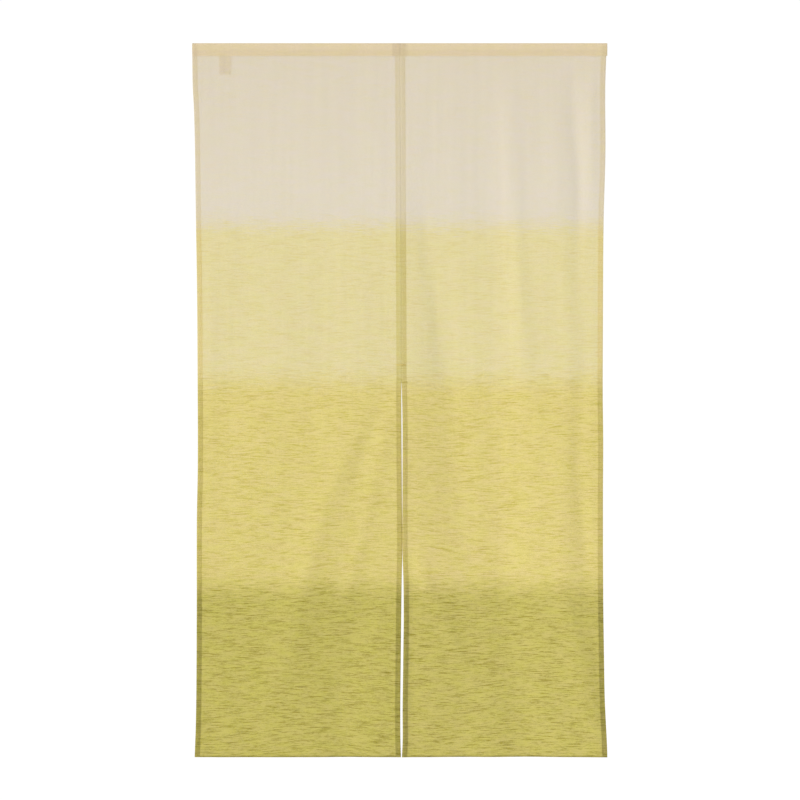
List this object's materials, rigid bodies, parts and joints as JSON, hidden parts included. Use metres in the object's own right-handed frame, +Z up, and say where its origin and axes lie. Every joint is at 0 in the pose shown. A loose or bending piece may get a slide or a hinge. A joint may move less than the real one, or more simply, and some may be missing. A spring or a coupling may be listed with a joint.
{
  "type": "noren curtain",
  "caption": "Split doorway curtain of sheer slub cloth in soft cream, yellow and olive bands, with an open rod pocket along the top and a slit up the middle of its lower half.",
  "frame": {"origin": "middle of the top edge, on the crown of the rod pocket", "axes": "+Z up, +X to the right of someone facing the front of the curtain, +Y away from them"},
  "size_m": [0.872, 0.0264, 1.5],
  "materials": {
    "heading_cloth": "matt plain weave, doubled",
    "panel_cloth": "matt sheer slub weave",
    "label_tape": "satin tape"
  },
  "bodies": {
    "root": {"heading": "heading_cloth", "panel_left": "panel_cloth", "panel_right": "panel_cloth", "label": "label_tape"}
  },
  "joints": []
}
